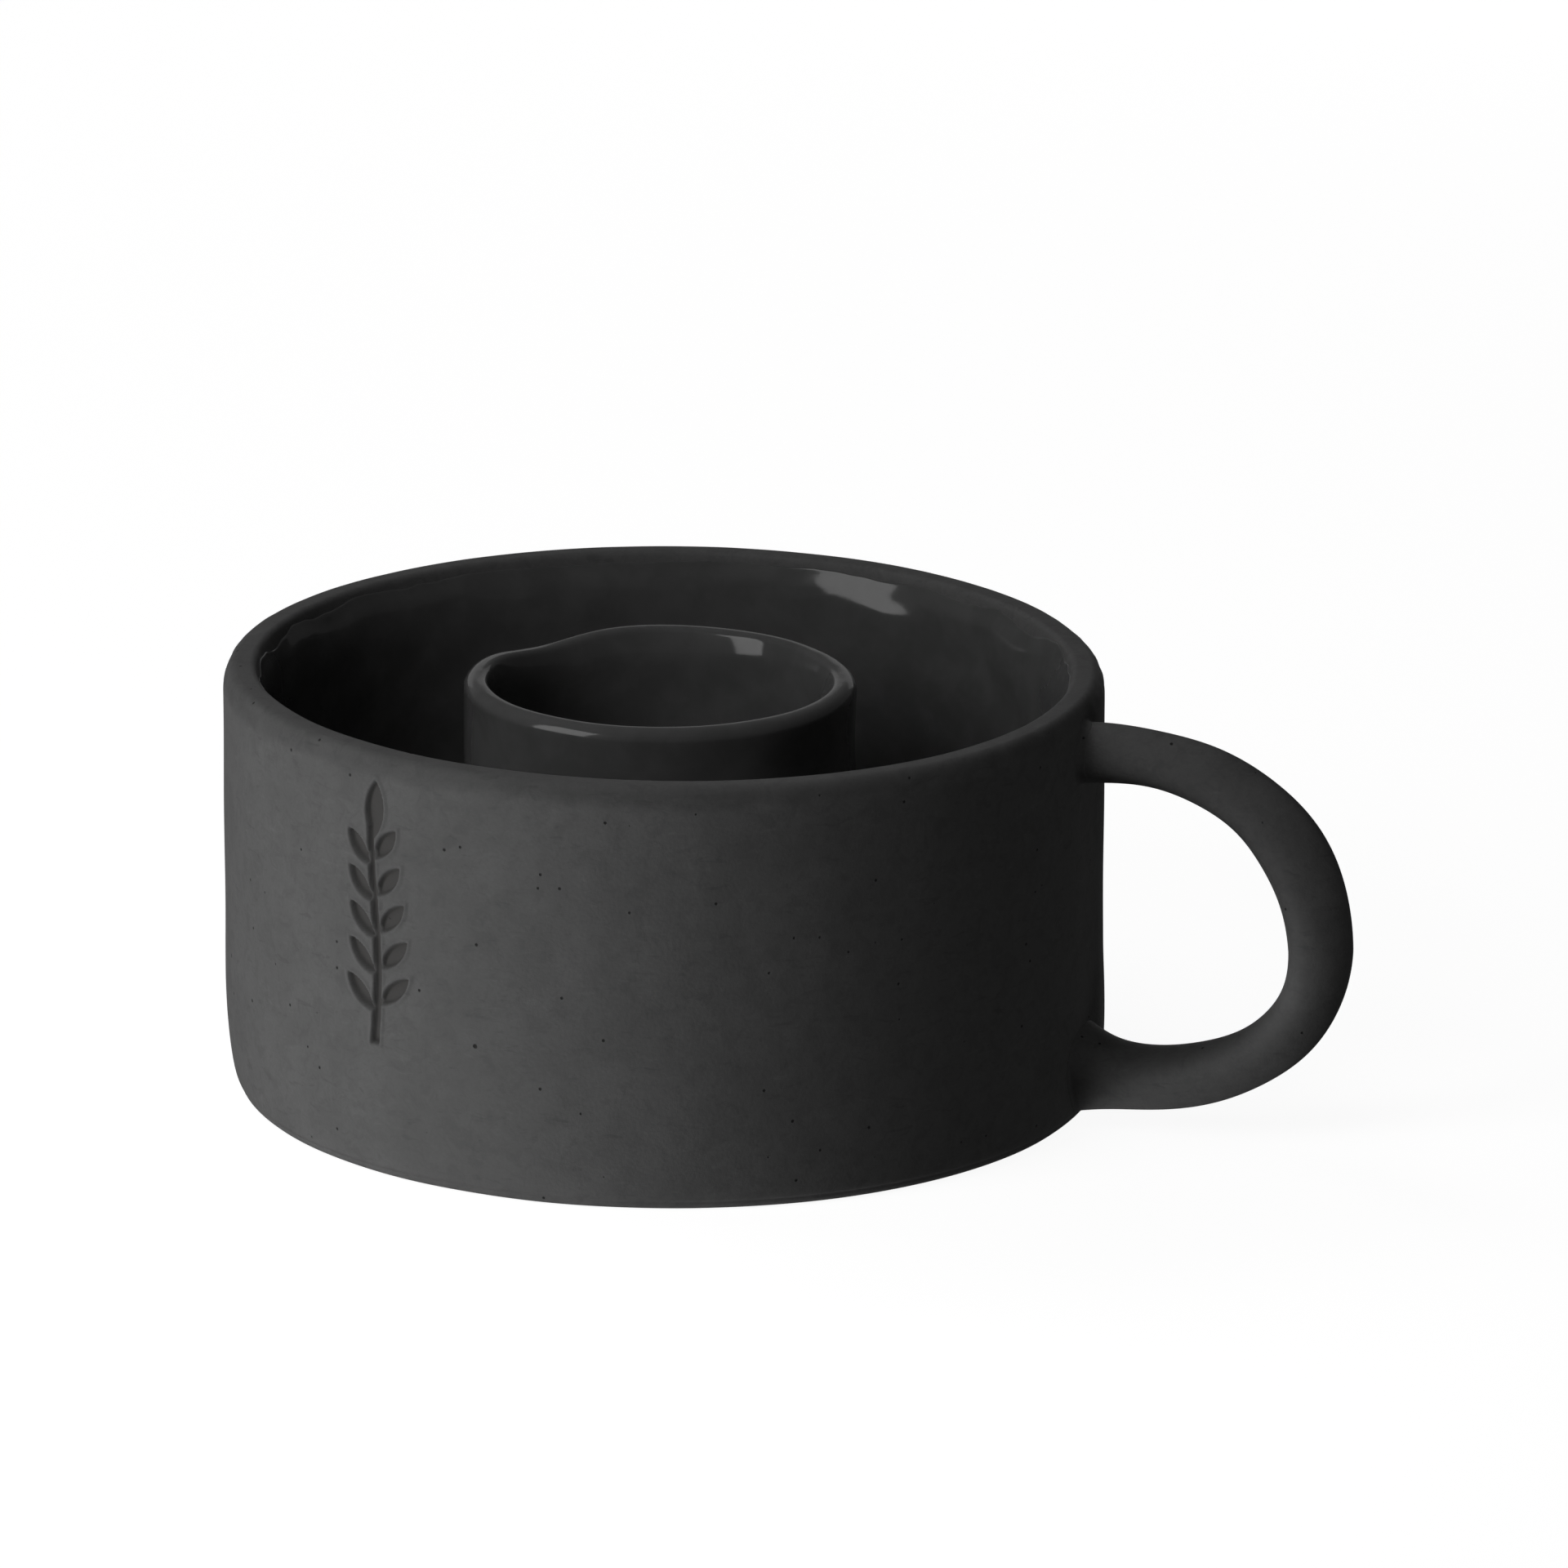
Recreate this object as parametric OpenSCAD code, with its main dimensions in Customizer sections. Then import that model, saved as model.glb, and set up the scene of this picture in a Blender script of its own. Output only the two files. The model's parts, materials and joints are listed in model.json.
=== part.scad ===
// Handled stoneware candle holder: a round bowl, a candle cup standing in it, and a loop handle.
// Millimetres, +Z up. The origin is on the bowl's axis, in the plane the foot stands on.
// The handle lies along +X.

/* [Bowl] */
// Outer diameter of the bowl's straight wall
bowl_d = 110; // [104:1:130]
// Height from the foot to the top of the rim
bowl_h = 54; // [50:0.5:64]
// Thickness of the clay wall, below the lip
wall_t = 5.6; // [4:0.1:6.5]
// Height of the clay floor above the foot
floor_z = 5; // [4:0.1:7]
// How far the foot's edge stands in from the straight wall
foot_inset = 1.8; // [0.5:0.1:2.5]
// Height over which the lower edge curves out into the straight wall
lower_curve_h = 14.5; // [8:0.5:20]
// Radius of the foot's outer edge
foot_edge_r = 1.2; // [0.5:0.1:2]
// Width of the flat ring that the bowl stands on
foot_ring_w = 8; // [4:0.5:14]
// Depth of the hollow inside that ring
foot_hollow_h = 1.2; // [0.5:0.1:2]
// Radius between the wall and the floor, inside
floor_fillet_r = 6; // [3:0.5:9]
// Height of the rounding on the rim's outer side
rim_round_h = 3.6; // [2:0.1:5]
// Width of the rounding on the rim's outer side
rim_round_w = 2.1; // [1:0.1:2.4]
// Radius of the rim's inner edge
rim_inner_r = 0.9; // [0.5:0.1:1.1]
// Lean of the lip's inside at its top, in degrees
lip_tilt = 20; // [8:1:22]
// Height over which the leaning lip curves into the straight inside wall
lip_h = 8; // [5:0.5:10]

/* [Candle cup] */
// Inner diameter of the glazed cup, where the candle sits
seat_d = 41; // [39:0.1:42]
// Outer diameter of the glazed cup
cup_d = 48.4; // [46:0.1:50]
// How far the cup's rim lies below the bowl's rim
cup_drop = 2.1; // [0:0.1:6]
// Radius of the cup rim's outer edge, in the clay
cup_rim_outer_r = 1.3; // [0.8:0.1:1.5]
// Radius of the cup rim's inner edge, in the clay
cup_rim_inner_r = 0.7; // [0.4:0.1:0.8]
// Height over which the cup's lip curves into its straight inside wall
cup_lip_h = 4; // [2:0.5:5]
// Radius of the slip seam around the cup's foot
cup_seam_r = 2.5; // [1:0.1:4]

/* [Handle] */
// Diameter of the handle's roll of clay
handle_d = 7.55; // [6:0.05:9]
// Distance from the bowl's axis to the handle's outermost edge
handle_reach = 88.95; // [84:0.05:100]
// Height at which the handle leaves the wall
upper_root_z = 46.8; // [42:0.1:47.5]
// Height at which the handle comes back to the wall
lower_root_z = 7.6; // [6:0.1:10]
// Height of the handle's outermost point
handle_tip_z = 25.6; // [22:0.1:32]
// How much narrower the handle's section is on the loop's outer side
outer_taper = 0.33; // [0:0.01:0.4]
// Width of the slip seam around each end of the handle
handle_seam_w = 1.3; // [1:0.1:2.2]

/* [Glaze] */
// Thickness of the glaze
glaze_t = 0.3; // [0.2:0.05:0.5]
// How far down the lip's inside the glaze begins, as a share of the lip's height
glaze_start = 0.2; // [0.05:0.05:0.6]

/* [Hidden] */

stoneware = "#77746f";
wet_slip = "#5c5955";
gloss_glaze = "#3b3a39";

$fn = 128;
ARC_STEPS = 10;      // straight steps in each rounded corner of a turned outline
SIDES = 24;          // sides of the handle's section
RINGS = 56;          // rings along the handle
SEAM_RINGS = 8;      // rings along each handle seam
SEAM_EDGE = 0.08;    // thickness that a handle seam thins out to
SEAM_LOWEST_Z = 0.4; // height at which the lower seam is wiped off above the foot
BISECTIONS = 20;     // halvings when a point on the handle is looked up

wall_r = bowl_d / 2;
inner_r = wall_r - wall_t;
foot_r = wall_r - foot_inset;

cup_top_z = bowl_h - cup_drop;
cup_clay_r = cup_d / 2 - glaze_t;
cup_clay_inner_r = seat_d / 2 + glaze_t;
cup_clay_top_z = cup_top_z - glaze_t;
cup_floor_fillet_r = 1.2;

function mix(a, b, t) = a * (1 - t) + b * t;

// Points on an ellipse's arc, from angle a0 to a1
function arc(centre, rx, rz, a0, a1) =
    [for (i = [0:ARC_STEPS])
        let (a = mix(a0, a1, i / ARC_STEPS)) centre + [rx * cos(a), rz * sin(a)]];

// The lower edge swells from the foot to the straight wall as a quarter of a tall ellipse
function lower_edge() =
    [for (i = [1:ARC_STEPS])
        let (a = 90 * i / ARC_STEPS)
        [foot_r + foot_inset * sin(a), foot_edge_r + (lower_curve_h - foot_edge_r) * (1 - cos(a))]];

// Outline of the bowl's outside, from the foot's edge to the top of the rim
function outside() = concat(
    arc([foot_r - foot_edge_r, foot_edge_r], foot_edge_r, foot_edge_r, -90, 0),
    lower_edge(),
    arc([wall_r - rim_round_w, bowl_h - rim_round_h], rim_round_w, rim_round_h, 0, 90));

// Clay surface of the trough, raised by t, from the bowl's wall down to the cup's wall
function trough(t) = concat(
    arc([inner_r - floor_fillet_r, floor_z + floor_fillet_r],
        floor_fillet_r - t, floor_fillet_r - t, 0, -90),
    arc([cup_clay_r + cup_seam_r, floor_z + cup_seam_r], cup_seam_r - t, cup_seam_r - t, 270, 180));

// Inside of a lip, from s0 (0 at the lip's top, 1 where it meets the straight wall at radius r)
function lip_inside(r, top_z, edge_r, tilt, h, s0 = 0) =
    let (flare = h * tan(tilt) / 2, z0 = top_z - edge_r + edge_r * sin(tilt))
    [for (i = [0:ARC_STEPS])
        let (s = mix(s0, 1, i / ARC_STEPS))
        [r + flare * pow(1 - s, 2), z0 - h * s]];

// A rounded inner edge on top of such a lip
function lip_edge(r, top_z, edge_r, tilt, h) =
    arc([r + h * tan(tilt) / 2 + edge_r * cos(tilt), top_z - edge_r], edge_r, edge_r, 90, 180 - tilt);

module turned(outline) {
    rotate_extrude() polygon(outline);
}

// ---- Bowl ----

// The bowl's outside as one solid, which trims what is joined to the wall
module bowl_envelope() {
    turned(concat([[0, 0]], outside(), [[0, bowl_h]]));
}

module bowl() {
    inside_floor = [[inner_r - floor_fillet_r, floor_z], [0, floor_z]];
    hollow = [[0, foot_hollow_h],
              [foot_r - foot_edge_r - foot_ring_w - foot_hollow_h, foot_hollow_h],
              [foot_r - foot_edge_r - foot_ring_w, 0]];
    color(stoneware)
    turned(concat(
        outside(),
        lip_edge(inner_r, bowl_h, rim_inner_r, lip_tilt, lip_h),
        lip_inside(inner_r, bowl_h, rim_inner_r, lip_tilt, lip_h),
        arc([inner_r - floor_fillet_r, floor_z + floor_fillet_r],
            floor_fillet_r, floor_fillet_r, 0, -90),
        inside_floor,
        hollow));
}

// ---- Candle cup ----

// The cup rim's outer edge, raised by t
function cup_outer_edge(t) =
    arc([cup_clay_r - cup_rim_outer_r, cup_clay_top_z - cup_rim_outer_r],
        cup_rim_outer_r + t, cup_rim_outer_r + t, 0, 90);

module candle_cup() {
    color(stoneware)
    turned(concat(
        [[cup_clay_inner_r, floor_z], [cup_clay_r, floor_z]],
        cup_outer_edge(0),
        lip_edge(cup_clay_inner_r, cup_clay_top_z, cup_rim_inner_r, lip_tilt, cup_lip_h),
        lip_inside(cup_clay_inner_r, cup_clay_top_z, cup_rim_inner_r, lip_tilt, cup_lip_h)));
}

module cup_seam() {
    color(wet_slip)
    turned(concat(
        [[cup_clay_r, floor_z]],
        arc([cup_clay_r + cup_seam_r, floor_z + cup_seam_r], cup_seam_r, cup_seam_r, 270, 180)));
}

// ---- Handle ----

root_x = wall_r - 5;
tip_x = handle_reach - handle_r(0.5);
upper_arm = [[root_x, upper_root_z], [wall_r + 10.3, upper_root_z + 3.1],
             [tip_x - 1.1, upper_root_z - 1], [tip_x, handle_tip_z]];
lower_arm = [[tip_x, handle_tip_z], [tip_x, handle_tip_z - 13.8],
             [wall_r + 15.2, lower_root_z - 4.3], [root_x, lower_root_z]];

function bezier(p, t) =
    pow(1 - t, 3) * p[0] + 3 * pow(1 - t, 2) * t * p[1] + 3 * (1 - t) * t * t * p[2] + pow(t, 3) * p[3];
function bezier_slope(p, t) =
    3 * pow(1 - t, 2) * (p[1] - p[0]) + 6 * (1 - t) * t * (p[2] - p[1]) + 3 * t * t * (p[3] - p[2]);

// The handle's centre line and its direction, for u from 0 at the upper root to 1 at the lower
function centre(u) = u < 0.5 ? bezier(upper_arm, 2 * u) : bezier(lower_arm, 2 * u - 1);
function heading(u) =
    let (d = u < 0.5 ? bezier_slope(upper_arm, 2 * u) : bezier_slope(lower_arm, 2 * u - 1))
    d / norm(d);

// The pulled clay is fuller at the shoulder and the roots and thinner at the lower bend
function swell(u, at, width) = exp(-pow((u - at) / width, 2));
function handle_r(u) =
    handle_d / 2 * (1 - 0.07 * swell(u, 0.15, 0.08) + 0.13 * swell(u, 0.4, 0.1)
                    - 0.05 * swell(u, 0.68, 0.1) + 0.15 * swell(u, 1, 0.14) + 0.6 * swell(u, 1, 0.05));

// One ring of the handle's section at u, widened by extra
function ring(u, extra) =
    let (c = centre(u), h = heading(u), r = handle_r(u) + extra)
    [for (i = [0:SIDES - 1])
        let (a = 360 * i / SIDES)
        [c[0] - h[1] * r * cos(a), r * sin(a) * (1 - outer_taper * cos(a)), c[1] + h[0] * r * cos(a)]];

// A closed tube through a list of rings
module tube(rings) {
    last = len(rings) - 1;
    polyhedron(
        points = [for (r = rings) each r],
        faces = concat(
            [[for (i = [0:SIDES - 1]) i]],
            [for (k = [0:last - 1], i = [0:SIDES - 1])
                let (j = (i + 1) % SIDES)
                [k * SIDES + i, (k + 1) * SIDES + i, (k + 1) * SIDES + j, k * SIDES + j]],
            [[for (i = [SIDES - 1:-1:0]) last * SIDES + i]]),
        convexity = 6);
}

module handle_roll() {
    tube([for (k = [0:RINGS]) ring(k / RINGS, 0)]);
}

module handle() {
    color(stoneware)
    difference() {
        handle_roll();
        bowl_envelope();
    }
}

// The u at which the centre line is at x, between lo (nearer the wall) and hi
function u_at(x, lo, hi, n = BISECTIONS) =
    n == 0 ? (lo + hi) / 2
    : centre((lo + hi) / 2)[0] < x ? u_at(x, (lo + hi) / 2, hi, n - 1)
    : u_at(x, lo, (lo + hi) / 2, n - 1);

// A closed sleeve between a list of outer rings and as many inner ones
module sleeve(outer, inner) {
    rings = concat(outer, [for (i = [len(inner) - 1:-1:0]) inner[i]]);
    count = len(rings);
    polyhedron(
        points = [for (r = rings) each r],
        faces = [for (k = [0:count - 1], i = [0:SIDES - 1])
            let (j = (i + 1) % SIDES, n = (k + 1) % count)
            [k * SIDES + i, n * SIDES + i, n * SIDES + j, k * SIDES + j]],
        convexity = 6);
}

// Everything lower than the seams' wiped lower edge
module below_foot() {
    translate([0, -bowl_d / 2, SEAM_LOWEST_Z - bowl_h]) cube([handle_reach, bowl_d, bowl_h]);
}

// Slip smoothed into a hollow curve between the wall and the handle's end at root_u
module handle_seam(root_u, mid_u) {
    u_in = u_at(wall_r - 2.5, root_u, mid_u);
    u_out = u_at(wall_r + handle_seam_w, root_u, mid_u);
    u_first = min(u_in, u_out);
    u_last = max(u_in, u_out);
    steps = [for (k = [0:SEAM_RINGS]) mix(u_first, u_last, k / SEAM_RINGS)];
    difference() {
        sleeve(
            [for (u = steps)
                let (past_wall = max(0, centre(u)[0] - wall_r) / handle_seam_w,
                     rise = 1 - sqrt(max(0, 1 - pow(1 - past_wall, 2))))
                ring(u, handle_seam_w * rise + SEAM_EDGE)],
            [for (u = steps) ring(u, 0)]);
        bowl_envelope();
        below_foot();
    }
}

module upper_handle_seam() {
    color(wet_slip) handle_seam(0, 0.25);
}

module lower_handle_seam() {
    color(wet_slip) handle_seam(1, 0.75);
}

// ---- Glaze ----

function reversed(list) = [for (i = [len(list) - 1:-1:0]) list[i]];

module bowl_glaze() {
    clay_side = concat(
        lip_inside(inner_r, bowl_h, rim_inner_r, lip_tilt, lip_h, glaze_start), trough(0));
    gloss_side = concat(
        lip_inside(inner_r - glaze_t, bowl_h - glaze_t, rim_inner_r, lip_tilt, lip_h, glaze_start),
        trough(glaze_t));
    color(gloss_glaze)
    turned(concat(clay_side, reversed(gloss_side)));
}

module cup_glaze() {
    seam_top_z = floor_z + cup_seam_r;
    f = cup_floor_fillet_r;
    gloss_side = concat(
        [[cup_clay_r + glaze_t, seam_top_z]],
        cup_outer_edge(glaze_t),
        lip_edge(seat_d / 2, cup_top_z, cup_rim_inner_r + glaze_t, lip_tilt, cup_lip_h),
        lip_inside(seat_d / 2, cup_top_z, cup_rim_inner_r + glaze_t, lip_tilt, cup_lip_h),
        arc([seat_d / 2 - f, floor_z + glaze_t + f], f, f, 0, -90),
        [[0, floor_z + glaze_t]]);
    clay_side = concat(
        [[cup_clay_r, seam_top_z]],
        cup_outer_edge(0),
        lip_edge(cup_clay_inner_r, cup_clay_top_z, cup_rim_inner_r, lip_tilt, cup_lip_h),
        lip_inside(cup_clay_inner_r, cup_clay_top_z, cup_rim_inner_r, lip_tilt, cup_lip_h),
        [[cup_clay_inner_r, floor_z], [0, floor_z]]);
    color(gloss_glaze)
    turned(concat(gloss_side, reversed(clay_side)));
}

bowl();
candle_cup();
cup_seam();
handle();
upper_handle_seam();
lower_handle_seam();
bowl_glaze();
cup_glaze();
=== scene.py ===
"""Looks for a handled stoneware candle holder: bare matt clay outside, gloss glaze inside.

Geometry is worked out in millimetres in the part's own frame (+Z up, axis of the bowl through the
origin, handle along +X) and written to Blender in metres.
"""
import json
import math

import bpy
import numpy as np
from mathutils import Matrix, Vector


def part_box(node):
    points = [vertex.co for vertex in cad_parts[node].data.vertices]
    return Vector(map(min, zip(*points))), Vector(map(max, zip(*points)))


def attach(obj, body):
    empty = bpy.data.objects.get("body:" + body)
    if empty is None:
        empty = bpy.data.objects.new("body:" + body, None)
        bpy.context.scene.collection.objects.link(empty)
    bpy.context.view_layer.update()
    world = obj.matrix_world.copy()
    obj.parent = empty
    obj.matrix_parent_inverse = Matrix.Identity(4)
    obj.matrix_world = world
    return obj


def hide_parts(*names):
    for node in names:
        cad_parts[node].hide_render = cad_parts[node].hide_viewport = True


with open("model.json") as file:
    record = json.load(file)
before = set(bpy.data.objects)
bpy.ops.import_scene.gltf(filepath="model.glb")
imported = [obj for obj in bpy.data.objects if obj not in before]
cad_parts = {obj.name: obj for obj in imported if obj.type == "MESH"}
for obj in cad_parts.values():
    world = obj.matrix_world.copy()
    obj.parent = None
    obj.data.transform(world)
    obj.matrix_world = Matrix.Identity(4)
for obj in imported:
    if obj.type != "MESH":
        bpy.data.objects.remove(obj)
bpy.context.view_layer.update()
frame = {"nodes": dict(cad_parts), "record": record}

MM = 0.001

# ---------------------------------------------------------------------------------------------
# Sizes, in millimetres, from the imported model
# ---------------------------------------------------------------------------------------------


def box_mm(node):
    """Lowest and highest corner of a CAD node."""
    low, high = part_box(node)
    return np.array(low) / MM, np.array(high) / MM


BOWL_HIGH = box_mm("bowl")[1]
CUP_HIGH = box_mm("cup_glaze")[1]
CLAY_CUP_LOW, CLAY_CUP_HIGH = box_mm("candle_cup")
SEAM_LOW, SEAM_HIGH = box_mm("cup_seam")
HANDLE_HIGH = box_mm("handle")[1]
SEAT_R = next(m for m in frame["record"]["mounts"] if m["name"] == "candle_seat")["dims"]["r_mm"]

WANDER_ROOM = 0.3                       # how far the hand-made rim wanders inside the CAD box
WALL_R = BOWL_HIGH[1] - WANDER_ROOM
RIM_DROP = 0.35                         # room above the rim for its rise and fall
RIM_Z = BOWL_HIGH[2] - RIM_DROP
FLOOR_Z = CLAY_CUP_LOW[2]
GLAZE_T = CUP_HIGH[1] - CLAY_CUP_HIGH[1]
CUP_R = CUP_HIGH[1]
CUP_Z = CUP_HIGH[2]
CUP_SEAM_R = SEAM_HIGH[2] - SEAM_LOW[2]

WALL_T = 5.6
INNER_R = WALL_R - WALL_T
FOOT_INSET = 1.25                       # how far the foot stands in from the wall
FOOT_EDGE_R = 1.2
LOWER_CURVE_H = 14.4                    # height at which the swelling lower edge becomes the wall
FOOT_RING_W = 8.0
FOOT_HOLLOW_H = 1.2
FOOT_HOLLOW_EDGE_W = 2.0
FLOOR_FILLET_R = 6.0
RIM_ROUND_H = 3.0                       # the rim's rounding on its outer side, height and width
RIM_ROUND_W = 1.8
RIM_INNER_R = 0.9
LIP_TILT = math.radians(20)             # how far the inside of a lip leans out at its top
LIP_H = 8.0
CUP_LIP_H = 4.0
CUP_RIM_OUTER_R = 1.6
CUP_RIM_INNER_R = 1.0
CUP_FLOOR_FILLET_R = 1.4

CAMERA_AZIMUTH = 19.0                   # degrees; at 0 it looks along +Y, with +X to the right
SIDE = math.radians(CAMERA_AZIMUTH)     # turns a direction seen from the camera into the part's frame


def smooth(x):
    """0 below 0, 1 above 1, and an even ease between."""
    x = np.clip(x, 0.0, 1.0)
    return x * x * (3.0 - 2.0 * x)


def ripple(theta, z, seed, terms, longest, shortest, radius):
    """A smooth random undulation of about -1 to 1 over a turned surface, the same on every run."""
    rng = np.random.default_rng(seed)
    total = np.zeros(np.broadcast(theta, z).shape)
    for _ in range(terms):
        wave = np.exp(rng.uniform(math.log(shortest), math.log(longest)))
        lean = rng.uniform(0, math.tau)
        turns = round(math.tau * radius / wave * math.cos(lean))
        rise = math.tau / wave * math.sin(lean)
        total = total + np.sin(turns * theta + rise * z + rng.uniform(0, math.tau))
    return total / math.sqrt(terms)


# ---------------------------------------------------------------------------------------------
# Outlines of the turned pieces: arrays of (radius, height)
# ---------------------------------------------------------------------------------------------


def arc(cr, cz, rr, rz, a0, a1, steps=12):
    """Points on an ellipse's arc, from angle a0 to a1 in degrees."""
    a = np.radians(np.linspace(a0, a1, steps + 1))
    return np.stack([cr + rr * np.cos(a), cz + rz * np.sin(a)], -1)


def line(p, q, step):
    """Evenly spaced points from p to q, both ends left out."""
    p, q = np.array(p, float), np.array(q, float)
    count = max(2, int(round(np.linalg.norm(q - p) / step)))
    t = np.linspace(0, 1, count + 1)[1:-1, None]
    return p + (q - p) * t


def lip_edge(r, top_z, edge_r, h):
    """The rounded inner edge on top of a leaning lip."""
    centre_r = r + h * math.tan(LIP_TILT) / 2 + edge_r * math.cos(LIP_TILT)
    return arc(centre_r, top_z - edge_r, edge_r, edge_r, 90, 180 - math.degrees(LIP_TILT), 8)


def lip_inside(r, top_z, edge_r, h, steps=24):
    """The inside of such a lip, down to where it meets the straight wall at radius r."""
    s = np.linspace(0, 1, steps + 1)
    z0 = top_z - edge_r + edge_r * math.sin(LIP_TILT)
    return np.stack([r + h * math.tan(LIP_TILT) / 2 * (1 - s) ** 2, z0 - h * s], -1)


def bowl_outside():
    """From the foot's edge up to the top of the rim, with rows close enough for the ornament."""
    foot_r = WALL_R - FOOT_INSET
    a = np.radians(np.linspace(0, 90, 33)[1:])
    swell = np.stack([foot_r + FOOT_INSET * np.sin(a),
                      FOOT_EDGE_R + (LOWER_CURVE_H - FOOT_EDGE_R) * (1 - np.cos(a))], -1)
    return np.concatenate([
        arc(foot_r - FOOT_EDGE_R, FOOT_EDGE_R, FOOT_EDGE_R, FOOT_EDGE_R, -90, 0, 8),
        swell,
        line((WALL_R, LOWER_CURVE_H), (WALL_R, RIM_Z - RIM_ROUND_H), ORNAMENT_ROW),
        arc(WALL_R - RIM_ROUND_W, RIM_Z - RIM_ROUND_H, RIM_ROUND_W, RIM_ROUND_H, 0, 90, 20)])


def bowl_underside():
    """From the axis out to the foot's edge."""
    ring_r = WALL_R - FOOT_INSET - FOOT_EDGE_R - FOOT_RING_W
    return np.concatenate([
        [[0.0, FOOT_HOLLOW_H]],
        line((0, FOOT_HOLLOW_H), (ring_r - FOOT_HOLLOW_EDGE_W, FOOT_HOLLOW_H), 4.0),
        arc(ring_r - FOOT_HOLLOW_EDGE_W, 0.0, FOOT_HOLLOW_EDGE_W, FOOT_HOLLOW_H, 90, 0, 6)])


TROUGH_FILLET_STEPS = 12


def trough(lift):
    """The trough's clay surface, raised by lift, from the bowl's wall to the cup's wall."""
    fillet = FLOOR_FILLET_R
    cup_clay_r = CUP_R - GLAZE_T
    wall_foot = arc(INNER_R - fillet, FLOOR_Z + fillet, fillet - lift, fillet - lift, 0, -90,
                    TROUGH_FILLET_STEPS)
    cup_foot = arc(cup_clay_r + CUP_SEAM_R, FLOOR_Z + CUP_SEAM_R,
                   CUP_SEAM_R - lift, CUP_SEAM_R - lift, 270, 180, 8)
    return np.concatenate([wall_foot, line(wall_foot[-1], cup_foot[0], 2.0), cup_foot])


def bowl_inside(lift):
    """The bowl's inside, raised by lift, from the rim's inner edge to the cup's wall."""
    lip = lip_inside(INNER_R - lift, RIM_Z - lift, RIM_INNER_R, LIP_H)
    basin = trough(lift)
    return np.concatenate([lip, line(lip[-1], basin[0], 1.2), basin])


# ---------------------------------------------------------------------------------------------
# How the hand-made pot wanders from true
# ---------------------------------------------------------------------------------------------


RAGGED_H = 1.2                          # half height of the band where the rim's outer edge is ragged
RAGGED_BELOW_RIM = 1.5
RAGGED_DEPTH = 0.07


def bowl_wander(theta, r, z):
    """(radial, vertical) shift in mm of the bowl's surfaces at an angle, radius and height."""
    seen = theta - SIDE
    near_wall = smooth((r - 30.0) / 15.0)   # the floor beside the cup stays where it is
    high = smooth((z / RIM_Z - 0.25) / 0.65)
    low = 1 - smooth(z / RIM_Z / 0.35)
    rim_out = -0.22 * np.cos(seen) - 0.10 * np.cos(2 * seen) - 0.05 * np.sin(3 * seen)
    foot_out = 0.46 * np.cos(seen) + 0.28 * np.cos(2 * seen)
    rim_up = -0.14 * np.cos(seen) + 0.17 * np.sin(2 * seen)
    uneven = 0.05 * ripple(theta, z, 11, 9, 45.0, 16.0, WALL_R)
    outer_edge = np.exp(-((z - RIM_Z + RAGGED_BELOW_RIM) / RAGGED_H) ** 2)
    outer_edge = outer_edge * smooth((r - WALL_R + 4.0) / 2.0)
    ragged = 1 + ripple(theta, z, 17, 12, 14.0, 3.5, WALL_R)
    uneven = uneven - RAGGED_DEPTH * outer_edge * ragged
    out = near_wall * (high * rim_out + low * foot_out + uneven)
    return out, near_wall * high * rim_up


DIP_AT = math.radians(132)              # the dip in the cup's lip, counted from the camera's right
DIP_HALF_W = math.radians(19)
DIP_DEPTH = 1.15


def cup_wander(theta, z):
    """The same for the cup, whose rim has a thumb-wide dip at the back left."""
    seen = theta - SIDE
    high = smooth((z - FLOOR_Z) / (CUP_Z - FLOOR_Z))
    apart = np.angle(np.exp(1j * (seen - DIP_AT)))
    dip = np.exp(-(apart / DIP_HALF_W) ** 2)
    out = high * (-0.75 * np.cos(seen) + 0.12 * np.cos(2 * seen) - 0.25 * dip)
    out = out + high * 0.06 * ripple(theta, z, 23, 7, 30.0, 12.0, CUP_R)
    up = smooth((high - 0.5) / 0.5) * (-DIP_DEPTH * dip - 0.12 * (1 - np.sin(seen)))
    return out, up


# ---------------------------------------------------------------------------------------------
# The impressed leaf sprig
# ---------------------------------------------------------------------------------------------

ORNAMENT_AT = math.radians(-110.7)       # direction of the sprig's middle, from +X
ORNAMENT_LOW_Z = 17.5
ORNAMENT_H = 33.0
ORNAMENT_HALF_W = 4.75
ORNAMENT_DEPTH = 0.55
ORNAMENT_EDGE = 0.3                     # width of the sloping side of an impression
ORNAMENT_ROW = 0.2                      # spacing of the mesh rows that carry it
BURR_H = 0.16                           # clay pushed up beside an impression
BURR_W = 0.55
STEM_HALF_W = 0.62                      # at the foot; it tapers by STEM_TAPER towards the tip
STEM_TAPER = 0.22
STEM_BEND = 0.45
STEM_TOP_IN_LEAF = 1.0                  # how far the stem runs up into the top leaf
TOP_LEAF_H = 7.0
TOP_LEAF_HALF_W = 1.35
LEAF_PAIRS = 5
LEAF_HALF_W = 1.0
LEAF_REACH = 4.25                       # of the lowest pair; each pair above is LEAF_SHORTENS less
LEAF_SHORTENS = 0.28
LEAF_RISE = 3.9
LEAF_OUT = 0.55                         # where a leaf starts beside the middle of the stem
FIRST_LEAF_V = 4.2
LEAF_SPACING = 4.55
RIGHT_LEAF_HIGHER = 0.9


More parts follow.
